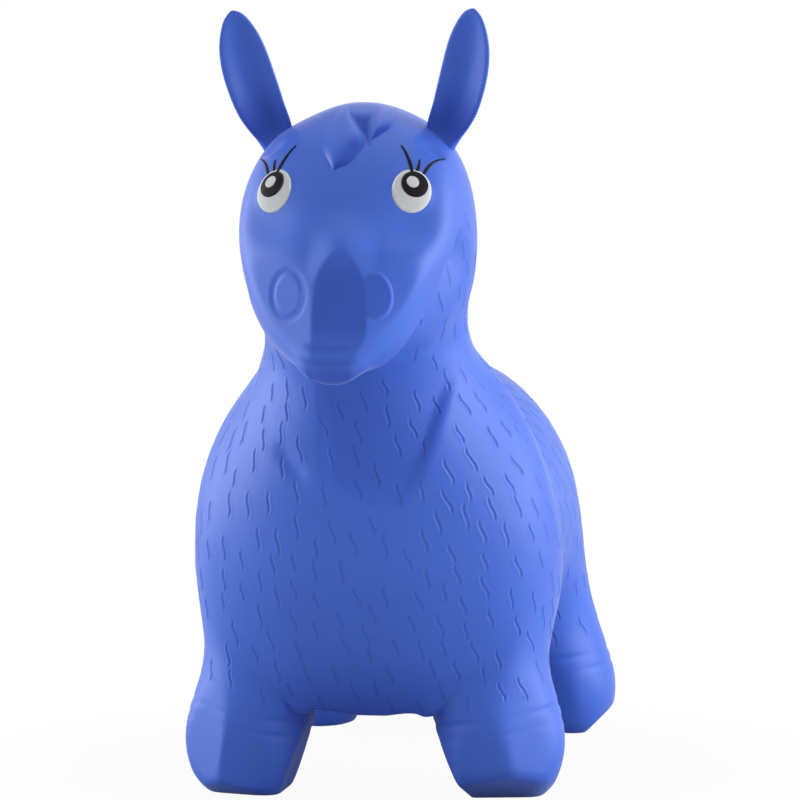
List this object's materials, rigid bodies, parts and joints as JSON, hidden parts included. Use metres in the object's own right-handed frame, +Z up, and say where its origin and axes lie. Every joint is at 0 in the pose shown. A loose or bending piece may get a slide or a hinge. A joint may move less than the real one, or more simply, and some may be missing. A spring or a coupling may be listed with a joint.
{
  "type": "bouncy ride-on horse",
  "caption": "Inflatable bouncy ride-on horse of soft blue vinyl: plump body, short legs with flat hooves, upright ears to hold, printed eyes and a push-in air plug under the belly.",
  "frame": {"origin": "on the floor under the middle of the horse's length and width", "axes": "-Y the way the horse faces, +X its left side, +Z up"},
  "size_m": [0.2644, 0.5606, 0.5354],
  "materials": {
    "skin": "matte",
    "eye_print": "satin",
    "plug": "satin"
  },
  "bodies": {
    "torso": {"torso": "skin", "neck": "skin", "front_left_leg": "skin", "front_right_leg": "skin", "rear_left_leg": "skin", "rear_right_leg": "skin"},
    "head": {"head": "skin", "left_ear_root": "skin", "right_ear_root": "skin", "left_eye": "eye_print", "right_eye": "eye_print"},
    "left_ear": {"left_ear": "skin"},
    "right_ear": {"right_ear": "skin"},
    "front_left_hoof": {"front_left_hoof": "skin"},
    "front_right_hoof": {"front_right_hoof": "skin"},
    "rear_left_hoof": {"rear_left_hoof": "skin"},
    "rear_right_hoof": {"rear_right_hoof": "skin"},
    "air_plug": {"air_plug": "plug"}
  },
  "joints": [
    {"name": "head_nod", "type": "hinge", "parent": "torso", "child": "head", "pos_m": [0, -0.14435, 0.335], "axis": [1, 0, 0], "range_deg": [-8, 8], "stiffness_Nm_per_rad": 12, "deforming": ["neck"]},
    {"name": "left_ear_bend", "type": "hinge", "parent": "head", "child": "left_ear", "pos_m": [0.06009, -0.17293, 0.45326], "axis": [0.9653, 0.0707, -0.2515], "range_deg": [-30, 30], "stiffness_Nm_per_rad": 0.2, "deforming": ["left_ear_root"]},
    {"name": "right_ear_bend", "type": "hinge", "parent": "head", "child": "right_ear", "pos_m": [-0.06009, -0.17293, 0.45326], "axis": [0.9653, -0.0707, 0.2515], "range_deg": [-30, 30], "stiffness_Nm_per_rad": 0.2, "deforming": ["right_ear_root"]},
    {"name": "front_left_bounce", "type": "slide", "parent": "torso", "child": "front_left_hoof", "axis": [0, 0, 1], "range_m": [0, 0.012], "stiffness_N_per_m": 4000, "springref_m": -0.002, "deforming": ["front_left_leg"]},
    {"name": "front_right_bounce", "type": "slide", "parent": "torso", "child": "front_right_hoof", "axis": [0, 0, 1], "range_m": [0, 0.012], "stiffness_N_per_m": 4000, "springref_m": -0.002, "deforming": ["front_right_leg"]},
    {"name": "rear_left_bounce", "type": "slide", "parent": "torso", "child": "rear_left_hoof", "axis": [0, 0, 1], "range_m": [0, 0.012], "stiffness_N_per_m": 4000, "springref_m": -0.002, "deforming": ["rear_left_leg"]},
    {"name": "rear_right_bounce", "type": "slide", "parent": "torso", "child": "rear_right_hoof", "axis": [0, 0, 1], "range_m": [0, 0.012], "stiffness_N_per_m": 4000, "springref_m": -0.002, "deforming": ["rear_right_leg"]},
    {"name": "plug_pull", "type": "slide", "parent": "torso", "child": "air_plug", "axis": [0, 0, -1], "range_m": [0, 0.022]}
  ]
}
